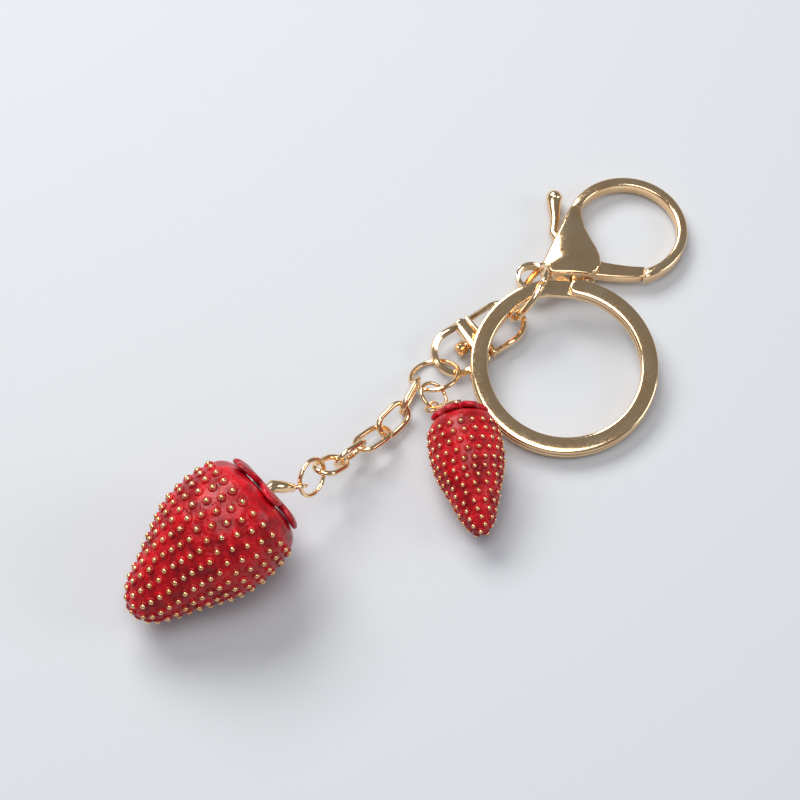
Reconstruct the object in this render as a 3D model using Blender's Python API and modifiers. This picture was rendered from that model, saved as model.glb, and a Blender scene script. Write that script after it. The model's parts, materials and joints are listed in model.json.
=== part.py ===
"""Strawberry charm keychain, lying on a flat surface.

A trigger clasp, a flat split key ring and a swivel hang on one connector ring. A charm ring on the
swivel carries a small berry on its own ring, and a five-link chain that ends in a large berry.
Metres, +Z up. +X runs along the keychain from the large berry to the clasp.
The origin is at the bottom centre of the whole, on the surface that it lies on.
"""

import math

import bmesh
import bpy
from mathutils import Matrix, Vector

MM = 0.001

# ---- Shared fits ----
LINK_GAP = 0.20 * MM  # between two wires that hang in each other
RUNNING_GAP = 0.10 * MM  # around a pin that turns in its hole
PRESS_GAP = 0.05 * MM  # around a pin that is pressed home
FACE_GAP = 0.15 * MM  # between faces that slide past each other
CUT_GAP = 0.12 * MM  # the closed cut of a jump ring

# ---- Split key ring: two flat turns of one strip ----
SPLIT_RING_OUTER_D = 29.8 * MM
SPLIT_STRIP_WIDTH = 2.75 * MM
SPLIT_STRIP_THICKNESS = 1.26 * MM
SPLIT_TURN_GAP = 0.08 * MM
SPLIT_STEP_ANGLE = math.radians(28)  # stretch in which the strip steps from one turn to the next
SPLIT_STRIP_CHAMFER = 0.22 * MM

# ---- Jump rings: (outer diameter, wire) ----
CONNECTOR_RING = (10.9 * MM, 1.1 * MM)
CHARM_RING = (8.5 * MM, 0.85 * MM)
SMALL_RING = (5.2 * MM, 0.65 * MM)
CHAIN_END_RING = (6.5 * MM, 0.75 * MM)

# ---- Cable chain ----
LINK_COUNT = 5
LINK_LENGTH = 7.1 * MM
LINK_WIDTH = 4.6 * MM
LINK_WIRE = 0.95 * MM

# ---- Swivel ----
SWIVEL_WIDTH = 8.3 * MM
UPPER_LOOP_LENGTH = 8.7 * MM
UPPER_LOOP_WIRE = 1.0 * MM
UPPER_BAR_THICKNESS = 0.9 * MM
LOWER_LOOP_LENGTH = 8.3 * MM
LOWER_LOOP_WIRE = 1.2 * MM
LOWER_BAR_THICKNESS = 2.0 * MM
SWIVEL_BAR_HEIGHT = 2.0 * MM
RIVET_SHANK_D = 1.2 * MM
RIVET_HEAD_D = 2.2 * MM
RIVET_HEAD_LENGTH = 1.5 * MM
RIVET_NECK = 0.5 * MM  # bare shank between the thick bar and its head

# ---- Trigger clasp, in its own plane: eye at the origin, hook towards +X ----
EYE_OUTER_D = 5.1 * MM
EYE_HOLE_D = 3.9 * MM
EYE_HEIGHT = 1.6 * MM
HOOK_CENTRE = (18.3 * MM, 0.15 * MM)
HOOK_OUTER_D = 19.7 * MM
HOOK_WIDTH = 1.65 * MM
HOOK_THICKNESS = 2.3 * MM
CHEEK_THICKNESS = 1.0 * MM
SLOT_HEIGHT = 2.1 * MM
GATE_PIVOT = (7.8 * MM, -2.0 * MM)
GATE_HUB_D = 3.8 * MM
GATE_TIP_REACH = 10.5 * MM  # from the pivot to the seam with the hook
GATE_ARM_HEEL_WIDTH = 3.0 * MM
GATE_ARM_TIP_WIDTH = 1.9 * MM
LEVER_BALL_D = 2.7 * MM
LEVER_NECK_D = 1.5 * MM
LEVER_BALL_AT = (11.4 * MM, 11.3 * MM)
PIVOT_PIN_D = 1.2 * MM
SPRING_WIRE = 0.4 * MM
GATE_OPENING_ANGLE = math.radians(28)

# ---- Berries ----
LARGE_BERRY_LENGTH = 26.3 * MM
LARGE_BERRY_D = 19.0 * MM
LARGE_PIP_HEIGHT = 0.42 * MM
LARGE_CALYX_D = 15.0 * MM
LARGE_PIN_D = 2.0 * MM
LARGE_PIN_REACH = 6.2 * MM  # from the top of the berry to the centre of the eye
SMALL_BERRY_LENGTH = 19.5 * MM
SMALL_BERRY_D = 11.2 * MM
SMALL_PIP_HEIGHT = 0.32 * MM
SMALL_CALYX_D = 9.0 * MM
SMALL_PIN_D = 1.5 * MM
SMALL_PIN_REACH = 6.0 * MM
LEAF_THICKNESS = 0.9 * MM
LEAF_COUNT = 6
LARGE_EYE = (1.4 * MM, 0.55 * MM)  # hole, wire
SMALL_EYE = (1.4 * MM, 0.50 * MM)
# Radius of a berry along its axis, both as shares: from its flat top to its blunt tip.
BERRY_SHAPE = (
    (0.000, 0.62),
    (0.030, 0.80),
    (0.090, 0.92),
    (0.200, 0.985),
    (0.330, 1.000),
    (0.470, 0.940),
    (0.600, 0.780),
    (0.730, 0.610),
    (0.860, 0.460),
    (0.940, 0.340),
    (0.985, 0.180),
)

# ---- How it lies: headings are turned from +X, banks are turned about the heading ----
CONNECTOR_HEADING = math.radians(26)
CONNECTOR_LEAN = math.radians(26)
CLASP_HEADING = math.radians(-9.5)
CLASP_EYE_SHIFT = 0.10 * MM  # the ring's wire sits this far off the middle of the eye
CLASP_EYE_RISE = 0.5 * MM  # the eye rides up on the connector ring by this much
SPLIT_RING_HEADING = math.radians(-106.5)
SPLIT_RING_BANK = math.radians(1.5)
SPLIT_RING_SEAT = (-0.15 * MM, 0.15 * MM)  # where the strip runs through the connector ring
SWIVEL_HEADING = math.radians(175.5)
SWIVEL_HOOK_HEIGHT = 1.93 * MM
SWIVEL_PITCH = math.radians(-1.2)
SWIVEL_SLACK = 0.25 * MM
LOWER_LOOP_BANK = math.radians(-15)
CHARM_RING_AT = math.radians(20)  # where it hangs on the round of the lower loop
CHARM_RING_HEADING = math.radians(183)
CHARM_RING_BANK = math.radians(24)
CHARM_RING_PITCH = math.radians(11)
CHARM_RING_SLACK = 0.48 * MM
SMALL_RING_AT = math.radians(46)
SMALL_RING_HEADING = math.radians(222)
SMALL_RING_PITCH = math.radians(10)
SMALL_RING_SLACK = 0.15 * MM
SMALL_RING_BANK = math.radians(-30)
SMALL_BERRY_HEADING = math.radians(-120.6)
SMALL_PIN_LEAN = math.radians(58)
SMALL_PIN_CLOCK = math.radians(-137)
LINK_1_AT = math.radians(-8)
LINK_HEADINGS = [math.radians(a) for a in (204, 190, 183, 187, 190)]
LINK_BANKS = [math.radians(a) for a in (85, -45, 20, 80, 15)]
LINK_PITCHES = [math.radians(a) for a in (-3, 4, 13, 25, 34)]
END_RING_HEADING = math.radians(190)
END_RING_BANK = math.radians(-65)
LARGE_BERRY_HEADING = math.radians(180)
LARGE_BERRY_PITCH = math.radians(-14.5)
LARGE_PIN_LEAN = math.radians(38)
LARGE_PIN_CLOCK = math.radians(-65)

LEAST_CROSSING = 0.55  # sine of the least angle at which two wires cross
RING_POINTS = 32
SCREW_STEPS = 24


# ---------------------------------------------------------------- scene and materials
def clear_scene():
    for item in list(bpy.data.objects):
        bpy.data.objects.remove(item, do_unlink=True)


def make_collection(name):
    made = bpy.data.collections.new(name)
    bpy.context.scene.collection.children.link(made)
    return made


def make_material(name, colour, roughness, metallic):
    made = bpy.data.materials.new(name)
    made.use_nodes = True
    shader = made.node_tree.nodes["Principled BSDF"]
    shader.inputs["Base Color"].default_value = (*colour, 1.0)
    shader.inputs["Roughness"].default_value = roughness
    shader.inputs["Metallic"].default_value = metallic
    return made


clear_scene()
PARTS = make_collection("strawberry_keychain")
CUTTERS = make_collection("cutters")
GOLD = make_material("gold_plate", (0.93, 0.69, 0.40), 0.12, 1.0)
ENAMEL = make_material("red_enamel", (0.55, 0.01, 0.02), 0.12, 0.0)
STEEL = make_material("spring_steel", (0.62, 0.62, 0.60), 0.30, 1.0)


def add_object(name, data, collection=PARTS):
    made = bpy.data.objects.new(name, data)
    collection.objects.link(made)
    return made


def add_cutter(name, mesh):
    made = add_object(name, mesh, CUTTERS)
    made.hide_render = True
    made.display_type = "WIRE"
    return made


# ---------------------------------------------------------------- small geometry
def aim(heading, pitch):
    """A unit direction from a heading and a pitch above the surface."""
    level = math.cos(pitch)
    return Vector((math.cos(heading) * level, math.sin(heading) * level, math.sin(pitch)))


def flat_frame(heading, pitch, bank, origin=Vector()):
    """A frame with X along the aim and Z upwards, then turned about X by the bank."""
    along = aim(heading, pitch)
    across = Vector((-math.sin(heading), math.cos(heading), 0.0))
    frame = Matrix((along, across, along.cross(across))).transposed().to_4x4()
    frame = frame @ Matrix.Rotation(bank, 4, "X")
    frame.translation = origin
    return frame


def arc(centre, radius, start, end, count):
    """Points along an arc, both ends included."""
    step = (end - start) / (count - 1)
    return [
        (
            centre[0] + radius * math.cos(start + i * step),
            centre[1] + radius * math.sin(start + i * step),
        )
        for i in range(count)
    ]


def ring_radius(ring):
    """Centreline radius of a round ring given as (outer diameter, wire)."""
    outer, wire = ring
    return (outer - wire) / 2


def ring_points(radius, cut_at):
    """Centreline of a jump ring, with its closed cut at an angle."""
    half = CUT_GAP / 2 / radius
    return arc((0, 0), radius, cut_at + half, cut_at + 2 * math.pi - half, RING_POINTS + 1)


def oval_points(length, width, wire, count):
    """Centreline of an oval link with straight sides and round ends."""
    radius = (width - wire) / 2
    straight = (length - wire) / 2 - radius
    half = count // 2
    right = arc((straight, 0), radius, -math.pi / 2, math.pi / 2, half)
    left = arc((-straight, 0), radius, math.pi / 2, 3 * math.pi / 2, half)
    return right + left


def loop_points(length, width, wire):
    """Centreline of a swivel loop, from its bar at X = 0 round its end and back."""
    radius = (width - wire) / 2
    round_at = length - wire / 2 - radius
    round_end = arc((round_at, 0), radius, -math.pi / 2, math.pi / 2, 17)
    return [(wire / 2, -radius)] + round_end + [(wire / 2, radius)]


def lowest(points, wire, frame):
    """Height of the lowest point of a bent wire in a frame."""
    return min((frame @ Vector((x, y, 0))).z for x, y in points) - wire / 2


def settle(height_at, low, high):
    """The angle between low and high at which the height is nil."""
    rising = height_at(high) > height_at(low)
    for _ in range(40):
        middle = (low + high) / 2
        if (height_at(middle) > 0) == rising:
            high = middle
        else:
            low = middle
    return (low + high) / 2


# ---------------------------------------------------------------- solids
def wire_object(name, points, wire, closed, material=GOLD, resolution=2):
    """A bent round wire. Points are 2D or 3D."""
    curve = bpy.data.curves.new(name, "CURVE")
    curve.dimensions = "3D"
    curve.bevel_depth = wire / 2
    curve.bevel_resolution = resolution
    curve.use_fill_caps = not closed
    spline = curve.splines.new("POLY")
    spline.points.add(len(points) - 1)
    for spot, point in zip(spline.points, points):
        x, y, z = (*point, 0.0)[:3]
        spot.co = (x, y, z, 1.0)
    spline.use_cyclic_u = closed
    for item in curve.splines:
        item.use_smooth = True
    curve.materials.append(material)
    return add_object(name, curve)


def plate_object(name, outline, thickness, edge=0.0):
    """A flat outline with a thickness, and rounded edges where edge is given."""
    curve = bpy.data.curves.new(name, "CURVE")
    curve.dimensions = "2D"
    curve.fill_mode = "BOTH"
    curve.extrude = thickness / 2 - edge
    curve.bevel_depth = edge
    curve.bevel_resolution = 1
    curve.offset = -edge
    spline = curve.splines.new("POLY")
    spline.points.add(len(outline) - 1)
    for spot, point in zip(spline.points, outline):
        spot.co = (point[0], point[1], 0.0, 1.0)
    spline.use_cyclic_u = True
    return add_object(name, curve)


def as_mesh(item, material=GOLD):
    """Turns a curve object, or a mesh with modifiers, into a welded mesh object of the same name."""
    bpy.context.view_layer.update()
    graph = bpy.context.evaluated_depsgraph_get()
    mesh = bpy.data.meshes.new_from_object(item.evaluated_get(graph))
    welded = bmesh.new()
    welded.from_mesh(mesh)
    bmesh.ops.remove_doubles(welded, verts=welded.verts, dist=0.002 * MM)
    welded.to_mesh(mesh)
    welded.free()
    name = item.name
    home = item.users_collection[0]
    place = item.matrix_world.copy()
    bpy.data.objects.remove(item, do_unlink=True)
    mesh.materials.clear()
    mesh.materials.append(material)
    made = add_object(name, mesh, home)
    made.matrix_world = place
    return made


def round_bar(name, diameter, length, sides=16, top=None):
    """A cylinder or a cone along Z, centred on its length."""
    mesh = bpy.data.meshes.new(name)
    shape = bmesh.new()
    bmesh.ops.create_cone(
        shape,
        cap_ends=True,
        segments=sides,
        radius1=diameter / 2,
        radius2=(diameter if top is None else top) / 2,
        depth=length,
    )
    shape.to_mesh(mesh)
    shape.free()
    mesh.materials.append(GOLD)
    return add_object(name, mesh)


def block(name, size, centre):
    mesh = bpy.data.meshes.new(name)
    shape = bmesh.new()
    bmesh.ops.create_cube(shape, size=1.0)
    bmesh.ops.scale(shape, vec=size, verts=shape.verts)
    bmesh.ops.translate(shape, vec=centre, verts=shape.verts)
    shape.to_mesh(mesh)
    shape.free()
    mesh.materials.append(GOLD)
    return add_object(name, mesh)


def ball(name, diameter, centre, sides=14, rings=9):
    mesh = bpy.data.meshes.new(name)
    shape = bmesh.new()
    bmesh.ops.create_uvsphere(shape, u_segments=sides, v_segments=rings, radius=diameter / 2)
    bmesh.ops.translate(shape, vec=centre, verts=shape.verts)
    shape.to_mesh(mesh)
    shape.free()
    mesh.materials.append(GOLD)
    return add_object(name, mesh)


def turned(name, profile, material, steps=SCREW_STEPS):
    """A solid turned about Z from (radius, height) points that run from top to bottom."""
    mesh = bpy.data.meshes.new(name)
    mesh.from_pydata(
        [(radius, 0.0, height) for radius, height in profile],
        [(i, i + 1) for i in range(len(profile) - 1)],
        [],
    )
    made = add_object(name, mesh)
    screw = made.modifiers.new("Turn", "SCREW")
    screw.steps = steps
    screw.render_steps = steps
    screw.use_merge_vertices = True
    screw.merge_threshold = 0.00001
    made = as_mesh(made, material)
    return made


def combine(base, tool, operation):
    """Joins or cuts base with tool, and leaves base a plain mesh."""
    base.data = base.data.copy()
    change = base.modifiers.new("Combine", "BOOLEAN")
    change.object = tool
    change.operation = operation
    change.solver = "EXACT"
    material = base.data.materials[0]
    made = as_mesh(base, material)
    bpy.data.objects.remove(tool, do_unlink=True)
    return made


def join(base, *tools):
    for tool in tools:
        base = combine(base, tool, "UNION")
    return base


def cut(base, *tools):
    for tool in tools:
        tool.name = "cutter_" + tool.name
        base = combine(base, tool, "DIFFERENCE")
    return base


def bake(item, frame):
    """Moves the shape inside its object by a frame."""
    item.data.transform(frame)
    return item


def shade(item, angle=35):
    if item.type == "MESH":
        item.data.shade_smooth()
        item.data.set_sharp_from_angle(angle=math.radians(angle))
    return item


def along_x(item, x_centre=0.0):
    """Turns a Z-centred solid so that it lies along X."""
    return bake(item, Matrix.Translation((x_centre, 0, 0)) @ Matrix.Rotation(math.pi / 2, 4, "Y"))


# ---------------------------------------------------------------- pieces, each in its own frame
def make_jump_ring(name, ring, cut_at):
    outer, wire = ring
    return wire_object(name, ring_points(ring_radius(ring), cut_at), wire, closed=False)


def make_split_ring():
    """Two flat turns of a chamfered strip, with the step from the lower to the upper turn."""
    half_w = SPLIT_STRIP_WIDTH / 2
    half_t = SPLIT_STRIP_THICKNESS / 2
    edge = SPLIT_STRIP_CHAMFER
    section = bpy.data.curves.new("strip_section", "CURVE")
    section.dimensions = "2D"
    corners = [
        (half_w - edge, half_t),
        (-half_w + edge, half_t),
        (-half_w, half_t - edge),
        (-half_w, -half_t + edge),
        (-half_w + edge, -half_t),
        (half_w - edge, -half_t),
        (half_w, -half_t + edge),
        (half_w, half_t - edge),
    ]
    spline = section.splines.new("POLY")
    spline.points.add(len(corners) - 1)
    for spot, corner in zip(spline.points, reversed(corners)):
        spot.co = (*corner, 0.0, 1.0)
    spline.use_cyclic_u = True
    section_object = add_cutter("strip_section", section)

    radius = (SPLIT_RING_OUTER_D - SPLIT_STRIP_WIDTH) / 2
    layer = (SPLIT_STRIP_THICKNESS + SPLIT_TURN_GAP) / 2
    total = 4 * math.pi - SPLIT_STEP_ANGLE
    first_end = 2 * math.pi - SPLIT_STEP_ANGLE
    count = 76
    points = []
    for i in range(count + 1):
        angle = total * i / count
        climb = min(max((angle - first_end) / SPLIT_STEP_ANGLE, 0.0), 1.0)
        height = -layer + 2 * layer * (3 - 2 * climb) * climb * climb
        points.append((radius * math.cos(angle), radius * math.sin(angle), height))
    made = wire_object("split_ring", points, SPLIT_STRIP_THICKNESS, closed=False)
    made.data.twist_mode = "Z_UP"
    made.data.bevel_mode = "OBJECT"
    made.data.bevel_object = section_object
    made = as_mesh(made)
    bpy.data.objects.remove(section_object, do_unlink=True)
    return made


def make_swivel_loop(name, length, wire, bar):
    """A wire loop whose ends run into a cross bar with the rivet's hole.

    The bar's outer face is at X = 0.
    """
    loop = as_mesh(wire_object(name, loop_points(length, SWIVEL_WIDTH, wire), wire, closed=False))
    height = max(SWIVEL_BAR_HEIGHT, wire)
    reach = SWIVEL_WIDTH / 2 - wire / 2
    outline = [
        (0, -reach),
        (bar * 0.3, -reach - wire / 2),
        (bar * 0.8, -reach - wire * 0.4),
        (bar, -reach + wire / 2),
        (bar, reach - wire / 2),
        (bar * 0.8, reach + wire * 0.4),
        (bar * 0.3, reach + wire / 2),
        (0, reach),
    ]
    solid = as_mesh(plate_object(name + "_bar", outline, height, 0.25 * MM))
    loop = join(loop, solid)
    hole = along_x(round_bar("hole", RIVET_SHANK_D + 2 * RUNNING_GAP, 4 * bar), bar / 2)
    return shade(cut(loop, hole))


def make_rivet():
    """Headed at both ends. Z runs along the swivel, and nil is the seam between the two bars."""
    upper_face = -UPPER_BAR_THICKNESS - FACE_GAP
    lower_face = FACE_GAP + LOWER_BAR_THICKNESS + RIVET_NECK
    head = RIVET_HEAD_D / 2
    shank = RIVET_SHANK_D / 2
    edge = 0.2 * MM
    profile = [
        (0, lower_face + RIVET_HEAD_LENGTH),
        (head - edge, lower_face + RIVET_HEAD_LENGTH),
        (head, lower_face + RIVET_HEAD_LENGTH - edge),
        (head, lower_face),
        (shank, lower_face),
        (shank, upper_face),
        (head, upper_face),
        (head, upper_face - RIVET_HEAD_LENGTH + edge),
        (head - edge, upper_face - RIVET_HEAD_LENGTH),
        (0, upper_face - RIVET_HEAD_LENGTH),
    ]
    return shade(along_x(turned("swivel_rivet", profile, GOLD, steps=16)))


def hook_tip_angle(radius):
    """Angle about the hook's centre at which a hook circle meets the gate's seam."""
    reach = GATE_TIP_REACH + FACE_GAP
    dx = HOOK_CENTRE[0] - GATE_PIVOT[0]
    dy = HOOK_CENTRE[1] - GATE_PIVOT[1]
    apart = math.hypot(dx, dy)
    towards_pivot = math.atan2(-dy, -dx)
    opening = math.acos((apart**2 + radius**2 - reach**2) / (2 * apart * radius))
    return towards_pivot + opening


def hook_outline():
    """The open hook with the spine that runs into the cheeks."""
    outer = HOOK_OUTER_D / 2
    inner = outer - HOOK_WIDTH
    start = math.radians(125)
    outer_end = hook_tip_angle(outer)
    inner_end = hook_tip_angle(inner)
    if outer_end > start:
        outer_end -= 2 * math.pi
    if inner_end > start:
        inner_end -= 2 * math.pi
    outside = arc(HOOK_CENTRE, outer, start, outer_end, 34)
    inside = arc(HOOK_CENTRE, inner, inner_end, start + math.radians(3), 34)
    spine_end = [(9.6 * MM, 3.2 * MM), (8.9 * MM, 5.3 * MM)]
    return outside + inside + spine_end


def cheek_outline():
    """The pear-shaped cheek: narrow where it meets the hook, broad with a round lobe at the gate."""
    base = EYE_OUTER_D / 2
    return [
        (base - 0.2 * MM, 0.7 * MM),
        (6.2 * MM, 3.6 * MM),
        (12.0 * MM, 7.7 * MM),
        (13.1 * MM, 7.6 * MM),
        (13.4 * MM, 6.6 * MM),
        (12.6 * MM, 5.0 * MM),
        (11.9 * MM, 3.0 * MM),
        (11.6 * MM, 0.6 * MM),
        (11.5 * MM, -1.2 * MM),
        (11.1 * MM, -2.8 * MM),
        (10.3 * MM, -4.2 * MM),
        (9.1 * MM, -4.9 * MM),
        (7.6 * MM, -4.8 * MM),
        (5.4 * MM, -3.2 * MM),
        (base, -1.6 * MM),
    ]


def make_clasp_body():
    thickness = SLOT_HEIGHT + 2 * CHEEK_THICKNESS
    body = as_mesh(plate_object("clasp_body", cheek_outline(), thickness, 0.35 * MM))
    hook = as_mesh(plate_object("hook", hook_outline(), HOOK_THICKNESS, 0.3 * MM))
    slot = as_mesh(
        plate_object(
            "slot",
            [
                (3.4 * MM, -9 * MM),
                (14.5 * MM, -9 * MM),
                (14.5 * MM, 1.9 * MM),
                (8.7 * MM, 1.9 * MM),
                (8.7 * MM, 10 * MM),
                (3.4 * MM, 10 * MM),
            ],
            SLOT_HEIGHT,
        )
    )
    body = cut(body, slot)
    post = block(
        "post",
        (1.3 * MM, 2.3 * MM, thickness - 1.2 * MM),
        (EYE_OUTER_D / 2 + 0.1 * MM, -0.2 * MM, 0),
    )
    eye = round_bar("eye", EYE_OUTER_D, EYE_HEIGHT, sides=32)
    body = join(body, hook, post, eye)
    body = cut(body, round_bar("eye_hole", EYE_HOLE_D, 2 * thickness, sides=32))
    pin_hole = round_bar("pin_hole", PIVOT_PIN_D + 2 * PRESS_GAP, pin_length() + PRESS_GAP * 4)
    bake(pin_hole, Matrix.Translation((*GATE_PIVOT, pin_centre() - PRESS_GAP)))
    return shade(cut(body, pin_hole), 30)


def pin_length():
    """The pin starts flush with the lower cheek and ends inside the upper one."""
    return CHEEK_THICKNESS + SLOT_HEIGHT + CHEEK_THICKNESS / 2


def pin_centre():
    return -SLOT_HEIGHT / 2 - CHEEK_THICKNESS + pin_length() / 2


def make_pivot_pin():
    pin = round_bar("clasp_pivot_pin", PIVOT_PIN_D, pin_length() - 2 * PRESS_GAP)
    return shade(bake(pin, Matrix.Translation((*GATE_PIVOT, pin_centre()))))


def gate_arm_outline():
    """From the hub to the seam, where its end is an arc about the pivot."""
    pivot = Vector(GATE_PIVOT)
    heading = math.radians(-36.5)
    tip = pivot + GATE_TIP_REACH * Vector((math.cos(heading), math.sin(heading)))
    middle = [pivot, Vector((12.2 * MM, -6.2 * MM)), tip]
    count = 7
    inner, outer = [], []
    for i in range(count):
        t = i / (count - 1)
        spot = (1 - t) ** 2 * middle[0] + 2 * t * (1 - t) * middle[1] + t * t * middle[2]
        slope = 2 * (1 - t) * (middle[1] - middle[0]) + 2 * t * (middle[2] - middle[1])
        side = Vector((-slope.y, slope.x)).normalized()
        width = GATE_ARM_HEEL_WIDTH + (GATE_ARM_TIP_WIDTH - GATE_ARM_HEEL_WIDTH) * t
        inner.append(spot + side * width / 2)
        outer.append(spot - side * width / 2)
    ends = []
    for spot in (inner[-1], outer[-1]):
        ends.append(math.atan2(spot.y - pivot.y, spot.x - pivot.x))
    seam = arc(GATE_PIVOT, GATE_TIP_REACH, ends[0], ends[1], 5)
    return [tuple(p) for p in inner[:-1]] + seam + [tuple(p) for p in reversed(outer[:-1])]


def make_gate():
    thickness = SLOT_HEIGHT - 2 * FACE_GAP
    arm = as_mesh(plate_object("clasp_gate", gate_arm_outline(), thickness, 0.2 * MM))
    hub = round_bar("hub", GATE_HUB_D, thickness, sides=24)
    bake(hub, Matrix.Translation((*GATE_PIVOT, 0)))
    lever = make_lever(thickness)
    gate = join(arm, hub, lever)
    hole = round_bar("hole", PIVOT_PIN_D + 2 * RUNNING_GAP, 2 * thickness)
    bake(hole, Matrix.Translation((*GATE_PIVOT, 0)))
    return shade(cut(gate, hole), 40)


def make_lever(thickness):
    """The thumb lever: a neck that swells into a ball."""
    ball_at = Vector((*LEVER_BALL_AT, 0))
    root = Vector((*GATE_PIVOT, 0))
    neck = Vector((7.6 * MM, 5.6 * MM, 0))
    stations = [
        (root, thickness / LEVER_NECK_D),
        (root.lerp(neck, 0.5), 1.25),
        (neck, 1.0),
        (Vector((9.2 * MM, 7.6 * MM, 0)), 1.0),
        (ball_at.lerp(neck, 0.18), LEVER_BALL_D / LEVER_NECK_D * 0.86),
        (ball_at, LEVER_BALL_D / LEVER_NECK_D * 0.96),
    ]
    spots = [tuple(p) for p, _ in stations]
    shaft = wire_object("lever", spots, LEVER_NECK_D, closed=False, resolution=3)
    for spot, (_, share) in zip(shaft.data.splines[0].points, stations):
        spot.radius = share
    shaft = as_mesh(shaft)
    return join(shaft, ball("lever_ball", LEVER_BALL_D, ball_at))


def make_gate_spring():
    """A hairpin of spring wire between the base of the slot and the lever's foot."""
    web = 3.4 * MM + SPRING_WIRE / 2 + FACE_GAP
    foot = GATE_PIVOT[0] - GATE_HUB_D / 2 - SPRING_WIRE / 2 - 2 * FACE_GAP
    bend = (foot - web) / 2
    top = 1.0 * MM
    points = [(web, -1.6 * MM), (web, top)]
    points += arc((web + bend, top), bend, math.pi, 0, 7)[1:]
    points += [(foot, -0.6 * MM), (foot - 0.25 * MM, -1.5 * MM)]
    return wire_object("clasp_gate_spring", points, SPRING_WIRE, closed=False, material=STEEL)


def berry_radius(share):
    """Radius share at a share of the length, on a smooth curve through BERRY_SHAPE."""
    shape = BERRY_SHAPE
    for i in range(len(shape) - 1):
        if share <= shape[i + 1][0]:
            break
    x0, y0 = shape[i]
    x1, y1 = shape[i + 1]
    before = shape[max(i - 1, 0)]
    after = shape[min(i + 2, len(shape) - 1)]
    slope0 = (y1 - before[1]) / (x1 - before[0])
    slope1 = (after[1] - y0) / (after[0] - x0)
    t = (share - x0) / (x1 - x0)
    step = x1 - x0
    return (
        (2 * t**3 - 3 * t**2 + 1) * y0
        + (t**3 - 2 * t**2 + t) * step * slope0
        + (3 * t**2 - 2 * t**3) * y1
        + (t**3 - t**2) * step * slope1
    )


def berry_profile(length, diameter, count):
    """(radius, distance from the top) along the outer side, from the top's rim to the tip."""
    last = BERRY_SHAPE[-1][0]
    points = []
    for i in range(count):
        share = last * (i / (count - 1)) ** 1.15
        points.append((berry_radius(share) * diameter / 2, share * length))
    return points


def make_berry(name, length, diameter, pin_d, steps, count):
    """A turned body along +X, top at the origin, with the bore for its eye pin."""
    bore = pin_d / 2 + PRESS_GAP
    depth = 3.2 * MM
    side = berry_profile(length, diameter, count)
    profile = [(0, -depth), (bore, -depth), (bore, 0)]
    profile += [(radius, -x) for radius, x in side]
    profile += [(0, -length)]
    body = turned(name, profile, ENAMEL, steps)
    # the turning axis runs down the berry, so +Z of the profile is -X of the berry
    bake(body, Matrix.Rotation(-math.pi / 2, 4, "Y"))
    return shade(body, 60)


def leaf_edge(angle, calyx_d):
    """Radius of the leafy cap's edge: rounded lobes with notches between them."""
    lobe = abs(math.cos(LEAF_COUNT * angle / 2)) ** 0.7
    return calyx_d / 2 * (0.52 + 0.48 * lobe)


def make_calyx(name, length, diameter, calyx_d, pin_d):
    """A cap of leaves that follows the berry's shoulder, with a hole for the eye pin."""
    bands = 4
    steps = LEAF_COUNT * 8
    hole = pin_d / 2 + 2 * PRESS_GAP
    side = berry_profile(length, diameter, 40)

    def shoulder(radius):
        for (r0, x0), (r1, x1) in zip(side, side[1:]):
            if r0 <= radius <= r1:
                return x0 + (x1 - x0) * (radius - r0) / (r1 - r0)
        return 0.0

    lift = LEAF_THICKNESS / 2 + 2 * FACE_GAP
    sheet = bmesh.new()
    rows = []
    for band in range(bands + 1):
        row = []
        for i in range(steps):
            angle = 2 * math.pi * i / steps
            edge = leaf_edge(angle, calyx_d)
            radius = hole + (edge - hole) * band / bands
            drop = shoulder(radius + 0.35 * MM) * 0.8
            spot = (drop - lift, radius * math.cos(angle), radius * math.sin(angle))
            row.append(sheet.verts.new(spot))
        rows.append(row)
    for inner, outer in zip(rows, rows[1:]):
        for i in range(steps):
            j = (i + 1) % steps
            sheet.faces.new((inner[i], outer[i], outer[j], inner[j]))
    mesh = bpy.data.meshes.new(name)
    sheet.to_mesh(mesh)
    sheet.free()
    made = add_object(name, mesh)
    wall = made.modifiers.new("Thickness", "SOLIDIFY")
    wall.thickness = LEAF_THICKNESS
    wall.offset = 0.0
    return shade(as_mesh(made, ENAMEL), 50)


def pin_eye_at(lean, clock, reach):
    """Centre of a berry's eye: a lean away from the axis, at a clock angle about it."""
    out = math.sin(lean) * reach
    return Vector((-math.cos(lean) * reach, out * math.cos(clock), out * math.sin(clock)))


def eye_axes(lean, clock, turn):
    """Directions along and across the neck, and the axis of the eye's hole."""
    along = pin_eye_at(lean, clock, 1.0).normalized()
    side = along.cross(Vector((1, 0, 0))).normalized()
    normal = Matrix.Rotation(turn, 3, along) @ side
    return along, normal


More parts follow.
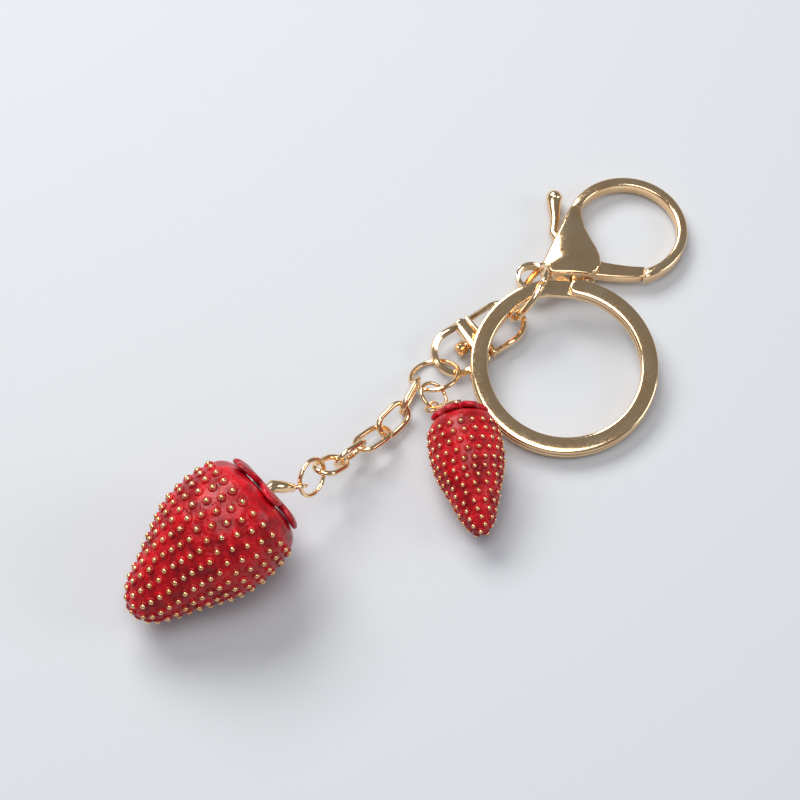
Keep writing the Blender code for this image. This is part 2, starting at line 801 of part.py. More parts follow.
def make_eye_pin(name, pin_d, reach, lean, clock, eye, turn):
    """A shank in the berry's bore, a leaning neck that thins, and a round eye on its end."""
    hole, wire = eye
    centre = pin_eye_at(lean, clock, reach)
    along, normal = eye_axes(lean, clock, turn)
    ring_r = (hole + wire) / 2
    clear_of_leaves = LEAF_THICKNESS + 4 * FACE_GAP
    bend = Vector((-clear_of_leaves - pin_d / 2 * math.tan(lean / 2), 0, 0))
    neck_end = centre - along * ring_r
    stations = [
        (Vector((2.9 * MM, 0, 0)), 1.0),
        (bend, 1.0),
        (bend.lerp(neck_end, 0.45), 0.98),
        (neck_end - along * 0.1 * MM, 0.62),
        (neck_end + along * 0.14 * MM, 0.40),
    ]
    neck = wire_object(name, [tuple(p) for p, _ in stations], pin_d, closed=False, resolution=4)
    for spot, (_, share) in zip(neck.data.splines[0].points, stations):
        spot.radius = share
    neck = as_mesh(neck)
    round_eye = arc((0, 0), ring_r, 0, 2 * math.pi * 21 / 22, 22)
    loop = as_mesh(wire_object("eye", round_eye, wire, closed=True))
    frame = Matrix((along, normal.cross(along), normal)).transposed().to_4x4()
    frame.translation = centre
    bake(loop, frame)
    return shade(join(neck, loop), 50)


# ---------------------------------------------------------------- how the pieces hang together
class Body:
    """One moving body: its joint's place and axis, its frame, and the pieces on it."""

    def __init__(self, name, parent, pivot, axis, frame):
        self.name = name
        self.parent = parent
        self.frame = frame
        self.joint = add_object("joint_" + name, None)
        self.joint.empty_display_size = 2 * MM
        turn = Vector((0, 0, 1)).rotation_difference(axis).to_matrix().to_4x4()
        turn.translation = pivot
        self.joint_frame = turn
        if parent:
            self.joint.parent = parent.joint
            self.joint.matrix_basis = parent.joint_frame.inverted() @ turn
        else:
            self.joint.matrix_basis = turn

    def add(self, item):
        item.parent = self.joint
        item.matrix_basis = self.joint_frame.inverted() @ self.frame
        return item


def hang(parent_frame, point, tangent, wires, reach, heading, pitch, bank, slack=0.0):
    """Frame of a loop that hangs in its parent's wire.

    point and tangent are the parent's wire where the loop hangs, in the parent's frame.
    reach is from the loop's centre to its own wire's centreline. wires are both wire diameters.
    Returns the loop's frame, and the pivot and axis on the parent's wire.
    """
    pivot = parent_frame @ Vector((*point, 0))
    axis = (parent_frame.to_3x3() @ Vector((*tangent, 0))).normalized()
    frame = flat_frame(heading, pitch, bank)
    along, _, across = frame.to_3x3().inverted() @ axis
    # wires that cross at a slant need more room along the loop for the same gap
    slant = max(abs(across) / math.hypot(along, across), LEAST_CROSSING)
    apart = (sum(wires) / 2 + LINK_GAP) / slant + slack
    frame.translation = pivot + frame.to_3x3() @ Vector((reach - apart, 0, 0))
    return frame, pivot, axis


def on_ring(ring, angle):
    """Point and tangent on a round ring's centreline."""
    radius = ring_radius(ring)
    return (
        (radius * math.cos(angle), radius * math.sin(angle)),
        (-math.sin(angle), math.cos(angle)),
    )


def place_connector():
    radius = ring_radius(CONNECTOR_RING)
    height = radius * math.cos(CONNECTOR_LEAN) + CONNECTOR_RING[1] / 2
    across = aim(CONNECTOR_HEADING - math.pi / 2, 0)
    up = across * math.sin(CONNECTOR_LEAN) + Vector((0, 0, math.cos(CONNECTOR_LEAN)))
    along = aim(CONNECTOR_HEADING, 0)
    frame = Matrix((along, up, along.cross(up))).transposed().to_4x4()
    frame.translation = (0, 0, height)
    return Body("connector_ring", None, frame.translation, along.cross(up), frame)


def connector_angle_at(height, connector, far_side):
    """Angle on the connector ring at which its wire's centre is at a height."""
    radius = ring_radius(CONNECTOR_RING)
    share = (height - connector.frame.translation.z) / (radius * math.cos(CONNECTOR_LEAN))
    angle = math.asin(share)
    return math.pi - angle if far_side else angle


def normal_of(frame):
    return frame.to_3x3() @ Vector((0, 0, 1))


def place_clasp(connector):
    """The clasp lies with its hook on the surface and its eye round the connector ring."""
    half = SLOT_HEIGHT / 2 + CHEEK_THICKNESS
    angle = connector_angle_at(half + CLASP_EYE_RISE, connector, far_side=False)
    point, _ = on_ring(CONNECTOR_RING, angle)
    eye = connector.frame @ Vector((*point, 0)) + aim(CLASP_HEADING, 0) * CLASP_EYE_SHIFT
    hook_end = HOOK_CENTRE[0] + HOOK_OUTER_D / 2
    cheek_end = GATE_PIVOT[0]

    def clear(pitch):
        hook = eye.z + hook_end * math.sin(pitch) - HOOK_THICKNESS / 2
        cheek = eye.z + cheek_end * math.sin(pitch) - half
        return min(hook, cheek)

    pitch = settle(clear, math.radians(-20), math.radians(5))
    frame = flat_frame(CLASP_HEADING, pitch, 0, eye)
    centre = connector.frame.translation
    return Body("clasp", connector, centre, normal_of(connector.frame), frame)


def place_gate(clasp):
    pivot = clasp.frame @ Vector((*GATE_PIVOT, 0))
    return Body("clasp_gate", clasp, pivot, normal_of(clasp.frame), clasp.frame)


def place_split_ring(connector):
    """The ring's strip runs through the connector ring, and its far side rests on the surface."""
    seat = connector.frame @ Vector((*SPLIT_RING_SEAT, 0))
    radius = (SPLIT_RING_OUTER_D - SPLIT_STRIP_WIDTH) / 2
    half_t = SPLIT_STRIP_THICKNESS + SPLIT_TURN_GAP / 2
    rim = arc((0, 0), SPLIT_RING_OUTER_D / 2, 0, 2 * math.pi, 73)

    def frame_at(pitch):
        frame = flat_frame(SPLIT_RING_HEADING, pitch, SPLIT_RING_BANK)
        frame.translation = seat + frame.to_3x3() @ Vector((radius, 0, 0))
        return frame

    def clear(pitch):
        frame = frame_at(pitch)
        low_face = frame @ Matrix.Translation((0, 0, -half_t))
        return lowest(rim, 0.0, low_face)

    frame = frame_at(settle(clear, math.radians(-30), math.radians(10)))
    axis = frame.to_3x3() @ Vector((0, -1, 0))
    return Body("split_ring", connector, seat, axis, frame)


def place_swivel(connector):
    """Frame at the seam between the two bars, with X towards the lower loop."""
    angle = connector_angle_at(SWIVEL_HOOK_HEIGHT, connector, far_side=True)
    point, tangent = on_ring(CONNECTOR_RING, angle)
    reach = UPPER_LOOP_LENGTH - UPPER_LOOP_WIRE / 2
    wires = (CONNECTOR_RING[1], UPPER_LOOP_WIRE)
    frame, _, _ = hang(
        connector.frame, point, tangent, wires, reach, SWIVEL_HEADING, SWIVEL_PITCH, 0, SWIVEL_SLACK
    )
    centre = connector.frame.translation
    upper = Body("swivel_upper", connector, centre, normal_of(connector.frame), frame)
    turned_frame = frame @ Matrix.Rotation(LOWER_LOOP_BANK, 4, "X")
    along = frame.to_3x3() @ Vector((1, 0, 0))
    lower = Body("swivel_lower", upper, frame.translation, along, turned_frame)
    return upper, lower


def place_charm_ring(lower):
    radius = (SWIVEL_WIDTH - LOWER_LOOP_WIRE) / 2
    round_at = FACE_GAP + LOWER_LOOP_LENGTH - LOWER_LOOP_WIRE / 2 - radius
    point = (round_at + radius * math.cos(CHARM_RING_AT), radius * math.sin(CHARM_RING_AT))
    tangent = (-math.sin(CHARM_RING_AT), math.cos(CHARM_RING_AT))
    wires = (LOWER_LOOP_WIRE, CHARM_RING[1])
    turn = (CHARM_RING_HEADING, CHARM_RING_PITCH, CHARM_RING_BANK)
    frame, pivot, axis = hang(
        lower.frame, point, tangent, wires, ring_radius(CHARM_RING), *turn, CHARM_RING_SLACK
    )
    return Body("charm_ring", lower, pivot, axis, frame)


def place_link(index, parent, point, tangent, parent_wire):
    """Frame, pivot and axis of a chain link."""
    reach = (LINK_LENGTH - LINK_WIRE) / 2
    wires = (parent_wire, LINK_WIRE)
    turn = (LINK_HEADINGS[index], LINK_PITCHES[index], LINK_BANKS[index])
    return hang(parent, point, tangent, wires, reach, *turn)


def berry_clear(frame, length, diameter, pip):
    """Height of the lowest pip of a berry above the surface."""
    down = []
    side = Vector((frame[2][0], frame[2][1], frame[2][2]))
    across = math.hypot(side.y, side.z)
    for radius, x in berry_profile(length, diameter, 40):
        down.append(frame.translation.z + side.x * x - across * (radius + pip))
    return min(down)


def place_berry(parent_frame, ring, heading, pitch, eye_centre, length, diameter, pip):
    """A berry whose eye is threaded on the far end of its ring."""
    point, tangent = on_ring(ring, 0.0)
    pivot = parent_frame @ Vector((*point, 0))
    axis = (parent_frame.to_3x3() @ Vector((*tangent, 0))).normalized()
    frame = flat_frame(heading, pitch, 0)
    frame.translation = pivot - frame.to_3x3() @ eye_centre
    return frame, pivot, axis, berry_clear(frame, length, diameter, pip)


def place_chain(charm_ring):
    """Links, end ring and large berry. The end ring rises just enough for the berry to lie down."""
    radius = ring_radius(CHARM_RING)
    point, tangent = on_ring(CHARM_RING, LINK_1_AT)
    link_end = ((LINK_LENGTH - LINK_WIRE) / 2, 0.0)
    eye_centre = pin_eye_at(LARGE_PIN_LEAN, LARGE_PIN_CLOCK, LARGE_PIN_REACH)

    def chain_at(rise):
        rows = []
        parent, spot, along, wire = charm_ring.frame, point, tangent, CHARM_RING[1]
        for index in range(LINK_COUNT):
            rows.append(place_link(index, parent, spot, along, wire))
            parent, spot, along, wire = rows[-1][0], link_end, (0.0, 1.0), LINK_WIRE
        reach = ring_radius(CHAIN_END_RING)
        rows.append(
            hang(
                parent,
                spot,
                along,
                (LINK_WIRE, CHAIN_END_RING[1]),
                reach,
                END_RING_HEADING,
                rise,
                END_RING_BANK,
            )
        )
        berry = place_berry(
            rows[-1][0],
            CHAIN_END_RING,
            LARGE_BERRY_HEADING,
            LARGE_BERRY_PITCH,
            eye_centre,
            LARGE_BERRY_LENGTH,
            LARGE_BERRY_D,
            LARGE_PIP_HEIGHT,
        )
        return rows, berry

    rise = settle(lambda angle: chain_at(angle)[1][3], 0.0, math.radians(85))
    rows, berry = chain_at(rise)
    bodies = []
    parent = charm_ring
    for index in range(LINK_COUNT):
        frame, pivot, axis = rows[index]
        parent = Body(f"chain_link_{index + 1}", parent, pivot, axis, frame)
        bodies.append(parent)
    frame, pivot, axis = rows[-1]
    end_ring = Body("chain_end_ring", parent, pivot, axis, frame)
    frame, pivot, axis, _ = berry
    large = Body("large_berry", end_ring, pivot, axis, frame)
    return bodies, end_ring, large


def place_small_berry(charm_ring):
    """The small ring stands up from the charm ring, and the small berry lies down from it."""
    point, tangent = on_ring(CHARM_RING, SMALL_RING_AT)
    reach = ring_radius(SMALL_RING)
    eye_centre = pin_eye_at(SMALL_PIN_LEAN, SMALL_PIN_CLOCK, SMALL_PIN_REACH)

    frame, pivot, axis = hang(
        charm_ring.frame,
        point,
        tangent,
        (CHARM_RING[1], SMALL_RING[1]),
        reach,
        SMALL_RING_HEADING,
        SMALL_RING_PITCH,
        SMALL_RING_BANK,
        SMALL_RING_SLACK,
    )
    small_ring = Body("small_ring", charm_ring, pivot, axis, frame)

    def placed(pitch):
        return place_berry(
            small_ring.frame,
            SMALL_RING,
            SMALL_BERRY_HEADING,
            pitch,
            eye_centre,
            SMALL_BERRY_LENGTH,
            SMALL_BERRY_D,
            SMALL_PIP_HEIGHT,
        )

    pitch = settle(lambda angle: placed(angle)[3], math.radians(-35), math.radians(20))
    frame, pivot, axis, _ = placed(pitch)
    return small_ring, Body("small_berry", small_ring, pivot, axis, frame)


# ---------------------------------------------------------------- assembly
def build():
    connector = place_connector()
    connector.add(make_jump_ring("connector_ring", CONNECTOR_RING, math.radians(90)))

    clasp = place_clasp(connector)
    clasp.add(make_clasp_body())
    clasp.add(make_pivot_pin())
    clasp.add(make_gate_spring())
    place_gate(clasp).add(make_gate())

    split_ring = place_split_ring(connector)
    ring = split_ring.add(make_split_ring())
    ring.matrix_basis = ring.matrix_basis @ Matrix.Rotation(math.pi, 4, "Z")

    upper, lower = place_swivel(connector)
    upper_loop = make_swivel_loop(
        "swivel_upper_loop", UPPER_LOOP_LENGTH, UPPER_LOOP_WIRE, UPPER_BAR_THICKNESS
    )
    upper.add(bake(upper_loop, Matrix.Rotation(math.pi, 4, "Z")))
    upper.add(make_rivet())
    lower_loop = make_swivel_loop(
        "swivel_lower_loop", LOWER_LOOP_LENGTH, LOWER_LOOP_WIRE, LOWER_BAR_THICKNESS
    )
    lower.add(bake(lower_loop, Matrix.Translation((FACE_GAP, 0, 0))))

    charm_ring = place_charm_ring(lower)
    charm_ring.add(make_jump_ring("charm_ring", CHARM_RING, math.radians(-20)))

    small_ring, small_berry = place_small_berry(charm_ring)
    small_ring.add(make_jump_ring("small_ring", SMALL_RING, math.radians(120)))
    add_berry(
        small_berry,
        "small_berry",
        (SMALL_BERRY_LENGTH, SMALL_BERRY_D, SMALL_CALYX_D, SMALL_PIN_D, SMALL_PIN_REACH),
        (SMALL_PIN_LEAN, SMALL_PIN_CLOCK, SMALL_EYE, math.radians(31)),
        (20, 14),
    )

    links, end_ring, large_berry = place_chain(charm_ring)
    rim = oval_points(LINK_LENGTH, LINK_WIDTH, LINK_WIRE, 24)
    for index, link in enumerate(links):
        link.add(wire_object(f"chain_link_{index + 1}", rim, LINK_WIRE, closed=True))
    end_ring.add(make_jump_ring("chain_end_ring", CHAIN_END_RING, math.radians(100)))
    add_berry(
        large_berry,
        "large_berry",
        (LARGE_BERRY_LENGTH, LARGE_BERRY_D, LARGE_CALYX_D, LARGE_PIN_D, LARGE_PIN_REACH),
        (LARGE_PIN_LEAN, LARGE_PIN_CLOCK, LARGE_EYE, math.radians(60)),
        (24, 18),
    )
    centre_on_floor(connector)


def add_berry(body, name, sizes, pin, detail):
    length, diameter, calyx_d, pin_d, reach = sizes
    lean, clock, eye, turn = pin
    steps, count = detail
    body.add(make_berry(name + "_body", length, diameter, pin_d, steps, count))
    body.add(make_calyx(name + "_calyx", length, diameter, calyx_d, pin_d))
    body.add(make_eye_pin(name + "_eye_pin", pin_d, reach, lean, clock, eye, turn))


def centre_on_floor(root):
    """Moves the whole keychain so that the origin is the bottom centre of its box."""
    bpy.context.view_layer.update()
    graph = bpy.context.evaluated_depsgraph_get()
    low = Vector((math.inf,) * 3)
    high = Vector((-math.inf,) * 3)
    for item in PARTS.objects:
        if item.type == "EMPTY":
            continue
        shape = item.evaluated_get(graph)
        mesh = shape.to_mesh()
        for vertex in mesh.vertices:
            spot = shape.matrix_world @ vertex.co
            low = Vector(map(min, low, spot))
            high = Vector(map(max, high, spot))
        shape.to_mesh_clear()
    middle = (low + high) / 2
    root.joint.location -= Vector((middle.x, middle.y, low.z))


build()
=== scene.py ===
# %% [markdown]
# A strawberry charm keychain, lying on a pale table. A trigger clasp, a flat split key ring and
# a swivel hang on one connector ring. The swivel carries a small berry and, on a short cable
# chain, a large one. The mechanical frame is loaded first, so every finish and every smooth
# piece here starts from a solid that already has the right size and place.

import json
import math

import bpy
import numpy as np
from mathutils import Matrix, Vector


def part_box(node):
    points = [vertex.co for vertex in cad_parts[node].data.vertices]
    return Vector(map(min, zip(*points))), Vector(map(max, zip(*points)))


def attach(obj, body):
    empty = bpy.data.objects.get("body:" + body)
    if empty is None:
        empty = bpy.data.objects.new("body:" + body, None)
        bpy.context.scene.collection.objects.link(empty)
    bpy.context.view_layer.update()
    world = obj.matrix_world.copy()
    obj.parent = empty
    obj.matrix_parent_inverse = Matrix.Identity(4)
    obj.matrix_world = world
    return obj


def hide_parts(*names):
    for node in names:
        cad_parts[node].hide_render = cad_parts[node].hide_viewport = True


MM = 0.001
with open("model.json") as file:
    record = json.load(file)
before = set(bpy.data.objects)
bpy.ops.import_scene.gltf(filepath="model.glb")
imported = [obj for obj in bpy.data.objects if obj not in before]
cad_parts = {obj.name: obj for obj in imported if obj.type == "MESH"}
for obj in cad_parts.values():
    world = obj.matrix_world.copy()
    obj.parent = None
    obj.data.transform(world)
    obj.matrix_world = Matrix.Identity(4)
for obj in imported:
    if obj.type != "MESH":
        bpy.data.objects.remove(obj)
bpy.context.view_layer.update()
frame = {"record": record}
groups = frame["record"]["behaviour"]["bodies"]
body_of_node = {node: body for body, nodes in groups.items() for node in nodes}


# %% [markdown]
# Materials. The metal is zinc and steel wire with a thin gold plating. A mirror polish shows
# as a very low roughness, but real plating is never perfect: it has faint waves from the
# polishing wheel and hairline scratches. One noise texture bends the reflections a little and
# another varies the roughness. Both read Object coordinates, so they stay fixed to a piece.

# %% Gold plating
def new_material(name, colour, metallic, roughness):
    made = bpy.data.materials.new(name)
    made.use_nodes = True
    shader = made.node_tree.nodes["Principled BSDF"]
    shader.inputs["Base Color"].default_value = (*colour, 1.0)
    shader.inputs["Metallic"].default_value = metallic
    shader.inputs["Roughness"].default_value = roughness
    return made, made.node_tree, shader


def add_noise(tree, scale, detail=2.0):
    """A noise texture on Object coordinates. Scale is in waves for each metre."""
    place = tree.nodes.new("ShaderNodeTexCoord")
    noise = tree.nodes.new("ShaderNodeTexNoise")
    noise.inputs["Scale"].default_value = scale
    noise.inputs["Detail"].default_value = detail
    tree.links.new(place.outputs["Object"], noise.inputs["Vector"])
    return noise


def spread(tree, source, low, high, low_out, high_out):
    """Maps a range of a value to another range."""
    ramp = tree.nodes.new("ShaderNodeMapRange")
    ramp.inputs["From Min"].default_value = low
    ramp.inputs["From Max"].default_value = high
    ramp.inputs["To Min"].default_value = low_out
    ramp.inputs["To Max"].default_value = high_out
    tree.links.new(source, ramp.inputs["Value"])
    return ramp.outputs["Result"]


def blend_colours(tree, source, low, high, first, second):
    """A colour that runs from first to second as the source runs from low to high."""
    ramp = tree.nodes.new("ShaderNodeValToRGB")
    ramp.color_ramp.elements[0].position = low
    ramp.color_ramp.elements[0].color = (*first, 1.0)
    ramp.color_ramp.elements[1].position = high
    ramp.color_ramp.elements[1].color = (*second, 1.0)
    tree.links.new(source, ramp.inputs["Fac"])
    return ramp.outputs["Color"]


def add_bump(tree, shader, source, strength, distance):
    bump = tree.nodes.new("ShaderNodeBump")
    bump.inputs["Strength"].default_value = strength
    bump.inputs["Distance"].default_value = distance
    tree.links.new(source, bump.inputs["Height"])
    tree.links.new(bump.outputs["Normal"], shader.inputs["Normal"])


def make_gold(name, colour, deep, roughness):
    made, tree, shader = new_material(name, colour, 1.0, roughness)
    cloud = add_noise(tree, 260.0, 3.0)
    tone = blend_colours(tree, cloud.outputs["Fac"], 0.3, 0.7, deep, colour)
    tree.links.new(tone, shader.inputs["Base Color"])
    fine = add_noise(tree, 2400.0, 4.0)
    polish = spread(tree, fine.outputs["Fac"], 0.3, 0.75, roughness * 0.6, roughness * 1.9)
    tree.links.new(polish, shader.inputs["Roughness"])
    add_bump(tree, shader, cloud.outputs["Fac"], 0.12, 0.15 * MM)
    return made


GOLD = make_gold("gold_plating", (1.0, 0.74, 0.45), (0.95, 0.62, 0.33), 0.10)
PIP_GOLD = make_gold("gold_seeds", (0.98, 0.70, 0.38), (0.80, 0.42, 0.16), 0.16)
print("made", GOLD.name, "and", PIP_GOLD.name)

# %% [markdown]
# The berries are cast metal under a flowed coat of translucent red enamel. Its colour runs
# from a bright red to a maroon, which is painted shade, laid in patches where the bump noise is
# low, and the surface is softly uneven under a thin clear gloss, which a light coat layer gives.

# %% Red enamel
def make_enamel(name, bright, deep, wave):
    made, tree, shader = new_material(name, bright, 0.0, 0.38)
    shader.inputs["IOR"].default_value = 1.52
    shader.inputs["Coat Weight"].default_value = 0.2
    shader.inputs["Specular IOR Level"].default_value = 0.25
    shader.inputs["Coat Roughness"].default_value = 0.1
    shader.inputs["Coat IOR"].default_value = 1.55
    shader.inputs["Subsurface Weight"].default_value = 0.05
    shader.inputs["Subsurface Radius"].default_value = (1.2, 0.15, 0.1)
    shader.inputs["Subsurface Scale"].default_value = 0.8 * MM
    shade_and_bump_noise = add_noise(tree, 420.0, 3.0)
    # The deep colour is a painted shade of the red, laid where the noise that also makes the bump
    # is low.
    tone = blend_colours(tree, shade_and_bump_noise.outputs["Fac"], 0.32, 0.66, deep, bright)
    tree.links.new(tone, shader.inputs["Base Color"])
    add_bump(tree, shader, shade_and_bump_noise.outputs["Fac"], 0.9, wave)
    return made


# The second colour of each coat is a painted shade of its red.
ENAMEL = make_enamel("red_enamel_coat", (0.64, 0.004, 0.012), (0.26, 0.001, 0.004), 0.9 * MM)
LEAF_ENAMEL = make_enamel("leaf_enamel_coat", (0.60, 0.008, 0.022), (0.22, 0.001, 0.007), 0.3 * MM)
STEEL, _, steel_shader = new_material("spring_steel", (0.62, 0.61, 0.58), 1.0, 0.3)
steel_grain = add_noise(STEEL.node_tree, 5000.0)
add_bump(STEEL.node_tree, steel_shader, steel_grain.outputs["Fac"], 0.1, 0.02 * MM)
print("made", ENAMEL.name, "and", LEAF_ENAMEL.name)


# %% [markdown]
# A smooth piece starts as a copy of its solid. The copy is merged, its triangles go back to
# quads, and a Subdivision Surface rounds it. Rounding pulls a wire in a little, so the copy is
# fattened first by the amount that the rounding takes away.

# %% Copies of solids
def deselect():
    bpy.ops.object.select_all(action="DESELECT")


def pick(piece):
    deselect()
    piece.select_set(True)
    bpy.context.view_layer.objects.active = piece


def copy_solid(node, name):
    """A merged copy of a solid, on the same body, that stands in for it."""
    source = bpy.data.objects[node]
    piece = source.copy()
    piece.data = source.data.copy()
    piece.name = name
    bpy.context.scene.collection.objects.link(piece)
    piece.parent = None
    piece.matrix_world = Matrix.Identity(4)
    for key in list(piece.keys()):
        del piece[key]
    pick(piece)
    bpy.ops.object.mode_set(mode="EDIT")
    bpy.ops.mesh.select_all(action="SELECT")
    bpy.ops.mesh.remove_doubles(threshold=0.003 * MM)
    bpy.ops.mesh.tris_convert_to_quads(face_threshold=0.5, shape_threshold=0.9)
    bpy.ops.object.mode_set(mode="OBJECT")
    return piece


def coat(piece, material):
    piece.data.materials.clear()
    piece.data.materials.append(material)


def settle_piece(piece, node, material):
    coat(piece, material)
    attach(piece, body_of_node[node])
    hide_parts(node)


def round_copy(node, name, material, fatten, levels=2):
    """A rounded copy: for wires and berries."""
    piece = copy_solid(node, name)
    bpy.ops.object.mode_set(mode="EDIT")
    bpy.ops.mesh.select_all(action="SELECT")
    bpy.ops.transform.shrink_fatten(value=fatten)
    bpy.ops.object.mode_set(mode="OBJECT")
    rounding = piece.modifiers.new("Rounding", "SUBSURF")
    rounding.levels = levels
    rounding.render_levels = levels
    pick(piece)
    bpy.ops.object.modifier_apply(modifier=rounding.name)
    bpy.ops.object.shade_smooth()
    settle_piece(piece, node, material)
    return piece


def crisp_copy(node, name, material, angle):
    """A copy that keeps its flats, and is shaded smooth where faces meet at less than the angle."""
    piece = copy_solid(node, name)
    pick(piece)
    bpy.ops.object.shade_smooth_by_angle(angle=math.radians(angle))
    settle_piece(piece, node, material)
    return piece


# %% [markdown]
# The jump rings and the chain links are bent round wire. Their solids have flats round the
# wire, and the rounded copies lose them. Each number is a wire's thickness in millimetres.

# %% Rings and links
ROUNDING_LOSS = 0.045
WIRES = {
    "connector_ring": 1.10,
    "charm_ring": 0.85,
    "small_ring": 0.65,
    "chain_end_ring": 0.75,
}
for number in range(1, 6):
    WIRES[f"chain_link_{number}"] = 0.95
for node, wire in WIRES.items():
    round_copy(node, node + "_wire", GOLD, wire / 2 * MM * ROUNDING_LOSS)
print("rounded", len(WIRES), "rings and links")

# %% [markdown]
# The split key ring is a chamfered flat strip wound twice. Rounding its copy softens the
# chamfers as polishing does, and makes the two turns true circles.

# %% Split key ring
round_copy("split_ring", "split_key_ring", GOLD, 0.01 * MM)
print("made the split key ring")

# %% [markdown]
# The swivel's loops, its rivet, the clasp and the eye pins have flat faces and sharp
# shoulders that must stay. Only their shading is smoothed, and only across shallow angles.

# %% Swivel, clasp and pins
FLAT_SIDED = 38
ROUND_SIDED = 60
for node in ("swivel_upper_loop", "swivel_lower_loop", "swivel_rivet", "clasp_body", "clasp_gate"):
    crisp_copy(node, node + "_polished", GOLD, angle=FLAT_SIDED)
for node in ("large_berry_eye_pin", "small_berry_eye_pin", "clasp_pivot_pin"):
    crisp_copy(node, node + "_polished", GOLD, angle=ROUND_SIDED)
crisp_copy("clasp_gate_spring", "gate_hairpin", STEEL, angle=ROUND_SIDED)
print("polished the swivel, the clasp and the pins")


# %% [markdown]
# A berry body is a turned solid. Its rounded copy is the ground for the seeds.

# %% Berry bodies
large_body = round_copy("large_berry_body", "large_berry", ENAMEL, 0.10 * MM, levels=3)
small_body = round_copy("small_berry_body", "small_berry", ENAMEL, 0.06 * MM, levels=3)
large_cap = round_copy("large_berry_calyx", "large_berry_leaves", LEAF_ENAMEL, 0.03 * MM)
small_cap = round_copy("small_berry_calyx", "small_berry_leaves", LEAF_ENAMEL, 0.02 * MM)
print("rounded the berries and their leaves")

# %% [markdown]
# The seeds are gold pips in staggered rows, each standing in a low collar of enamel. One pip
# is modelled and copied, each copy turned to face straight out of the berry. The rows need the
# berry's axis and its radius at each height, which are measured on its own mesh.

# %% Where the seeds go
OUTLINE_STEP = 0.25 * MM
OUTLINE_REACH = 0.9 * MM
ROW_PITCH = 0.87


def berry_rings(node, cap_node):
    """Tip, direction from leaves to tip, and all the points of a berry's turned solid.

    The points lie in even rings, so their mean and one of their main directions are the axis.
    """
    spots = np.array([v.co[:] for v in bpy.data.objects[node].data.vertices])
    spots = np.unique(np.round(spots, 6), axis=0)
    low, high = (np.array(corner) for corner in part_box(cap_node))
    tip = spots[np.argmax(np.linalg.norm(spots - (low + high) / 2, axis=1))]
    middle = spots.mean(axis=0)
    _, _, ways = np.linalg.svd(spots - middle, full_matrices=False)
    towards = ways @ (tip - middle)
    way = ways[np.argmax(np.abs(towards))]
    return tip, way * np.sign(towards[np.argmax(np.abs(towards))]), spots


def seed_spots(node, cap_node, spacing, first, last):
    """Points on a berry in staggered rows, from its tip to its leaves."""
    tip, way, spots = berry_rings(node, cap_node)
    height = (tip - spots) @ way
    radius = np.linalg.norm(spots - tip + height[:, None] * way, axis=1)
    levels = np.arange(0.0, height.max(), OUTLINE_STEP)
    outline = [radius[np.abs(height - level) < OUTLINE_REACH].max() for level in levels]
    outline[0] = 0.0
    walked = np.concatenate([[0], np.cumsum(np.hypot(np.diff(levels), np.diff(outline)))])
    down, side = Vector(-way), Vector(way).orthogonal().normalized()
    other = down.cross(side)
    found = []
    for row, distance in enumerate(np.arange(first, walked[-1], spacing * ROW_PITCH)):
        level = float(np.interp(distance, walked, levels))
        if level > height.max() - last:
            break
        reach = float(np.interp(distance, walked, outline))
        count = max(round(2 * math.pi * reach / spacing), 3)
        for i in range(count):
            angle = 2 * math.pi * (i + 0.5 * (row % 2)) / count
            out = math.cos(angle) * side + math.sin(angle) * other
            found.append(Vector(tip) + down * level + out * reach)
    return found


# %% [markdown]
# A pip is a small sphere pressed a little flat, sunk to a third in the enamel. Its collar is a
# low ring of enamel round its foot. Both have only a few dozen faces, because there are hundreds.

# %% Seeds and their collars
def make_seeds(name, body, node, cap_node, spacing, size, first, last):
    spots = seed_spots(node, cap_node, spacing, first, last)
    deselect()
    bpy.ops.mesh.primitive_uv_sphere_add(segments=10, ring_count=6, radius=size / 2)
    pip = bpy.context.active_object
    bpy.ops.transform.resize(value=(1, 1, 0.9))
    bpy.ops.object.transform_apply(location=False, rotation=False, scale=True)
    bpy.ops.mesh.primitive_torus_add(
        major_radius=size * 0.60, minor_radius=size * 0.32, major_segments=10, minor_segments=5
    )
    collar = bpy.context.active_object
    for form, sink, label in ((pip, 0.20 * size, "seeds"), (collar, -0.02 * size, "collars")):
        copies = []
        for spot in spots:
            hit, place, normal, _ = body.closest_point_on_mesh(spot)
            if not hit:
                continue
            copy = form.copy()
            copy.data = form.data.copy()
            turn = Vector((0, 0, 1)).rotation_difference(normal).to_matrix().to_4x4()
            turn.translation = place + normal * sink
            copy.data.transform(turn)
            bpy.context.scene.collection.objects.link(copy)
            copies.append(copy)
        deselect()
        for copy in copies:
            copy.select_set(True)
        bpy.context.view_layer.objects.active = copies[0]
        bpy.ops.object.join()
        joined = bpy.context.active_object
        joined.name = f"{name}_{label}"
        bpy.ops.object.shade_smooth()
        coat(joined, PIP_GOLD if label == "seeds" else ENAMEL)
        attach(joined, body_of_node[node])
    bpy.data.objects.remove(pip, do_unlink=True)
    bpy.data.objects.remove(collar, do_unlink=True)
    print(name, "has", len(spots), "seeds")


make_seeds(
    "large_berry", large_body, "large_berry_body", "large_berry_calyx",
    spacing=2.25 * MM, size=0.86 * MM, first=1.2 * MM, last=2.6 * MM,
)
make_seeds(
    "small_berry", small_body, "small_berry_body", "small_berry_calyx",
    spacing=1.75 * MM, size=0.68 * MM, first=1.0 * MM, last=1.9 * MM,
)

# %% [markdown]
# The table is a large matt sheet. Soft studio light comes from big panels, because a mirror
# finish shows what is round it: bright panels for the highlights and dark gaps between them
# for the contrast.

# %% Floor and light
deselect()
bpy.ops.mesh.primitive_plane_add(size=4.0)
floor = bpy.context.active_object
floor.name = "table"
paper, paper_tree, paper_shader = new_material("pale_table", (0.58, 0.60, 0.63), 0.0, 0.75)
paper_grain = add_noise(paper_tree, 900.0, 5.0)
add_bump(paper_tree, paper_shader, paper_grain.outputs["Fac"], 0.25, 0.08 * MM)
coat(floor, paper)


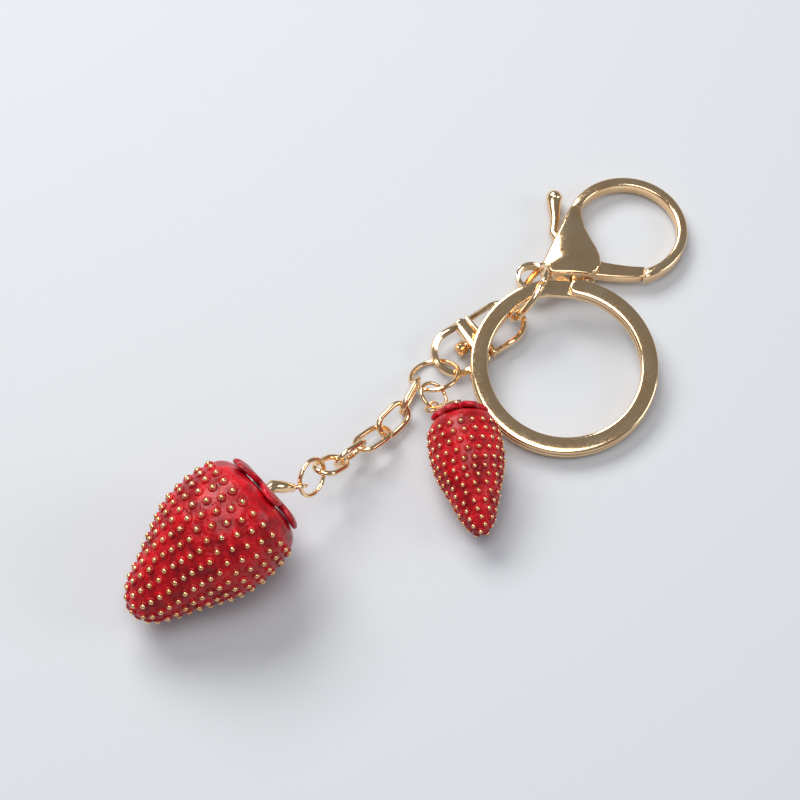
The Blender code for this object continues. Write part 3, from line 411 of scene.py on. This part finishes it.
def add_panel(name, place, size, power, colour=(1, 1, 1)):
    """A soft light panel that faces the keychain."""
    data = bpy.data.lights.new(name, "AREA")
    data.shape = "RECTANGLE"
    data.size, data.size_y = size
    data.energy = power
    data.color = colour
    panel = bpy.data.objects.new(name, data)
    bpy.context.scene.collection.objects.link(panel)
    panel.location = place
    panel.rotation_euler = (-Vector(place)).to_track_quat("-Z", "Y").to_euler()
    return panel


add_panel("window", (0.05, 0.45, 0.50), (0.50, 0.35), 4.2, (1.0, 0.98, 0.95))
add_panel("overhead", (-0.10, -0.05, 0.60), (0.35, 0.35), 1.5)
add_panel("fill", (0.40, -0.40, 0.35), (0.30, 0.25), 0.8, (0.92, 0.96, 1.0))
world = bpy.data.worlds.new("studio")
bpy.context.scene.world = world
world.use_nodes = True
world.node_tree.nodes["Background"].inputs["Color"].default_value = (0.86, 0.89, 0.95, 1.0)
world.node_tree.nodes["Background"].inputs["Strength"].default_value = 0.24
print("set the table and the light")

# %% [markdown]
# The camera looks down at the table from the side of the key ring, at about sixty degrees,
# with a long lens, so the rings stay close to their true shapes.

# %% Camera
HEADING = math.radians(-40.0)
ELEVATION = math.radians(62.0)
DISTANCE = 0.411
FILM_WIDTH = 36.0
FOCAL_PER_WIDTH = 2600.0 / 800.0
RING_IN_VIEW = Vector((20.5 * MM, 16.4 * MM, 0))
connector_low, connector_high = (Vector(c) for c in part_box("connector_ring"))
connector_at = (connector_low + connector_high) / 2
turn = Matrix.Rotation(HEADING, 3, "Z")
aim_at = Vector((connector_at.x, connector_at.y, 0)) - turn @ RING_IN_VIEW
back = turn @ Vector((0, -math.cos(ELEVATION), math.sin(ELEVATION)))
lens = bpy.data.cameras.new("camera")
camera = bpy.data.objects.new("camera", lens)
bpy.context.scene.collection.objects.link(camera)
lens.sensor_width = FILM_WIDTH
lens.lens = FILM_WIDTH * FOCAL_PER_WIDTH
lens.clip_start = 0.01
lens.clip_end = 10.0
camera.location = aim_at + back * DISTANCE
camera.rotation_euler = (math.radians(90.0) - ELEVATION, 0, HEADING)
bpy.context.scene.camera = camera
bpy.context.scene.view_settings.view_transform = "Standard"
bpy.context.scene.view_settings.look = "None"
print("aimed the camera")
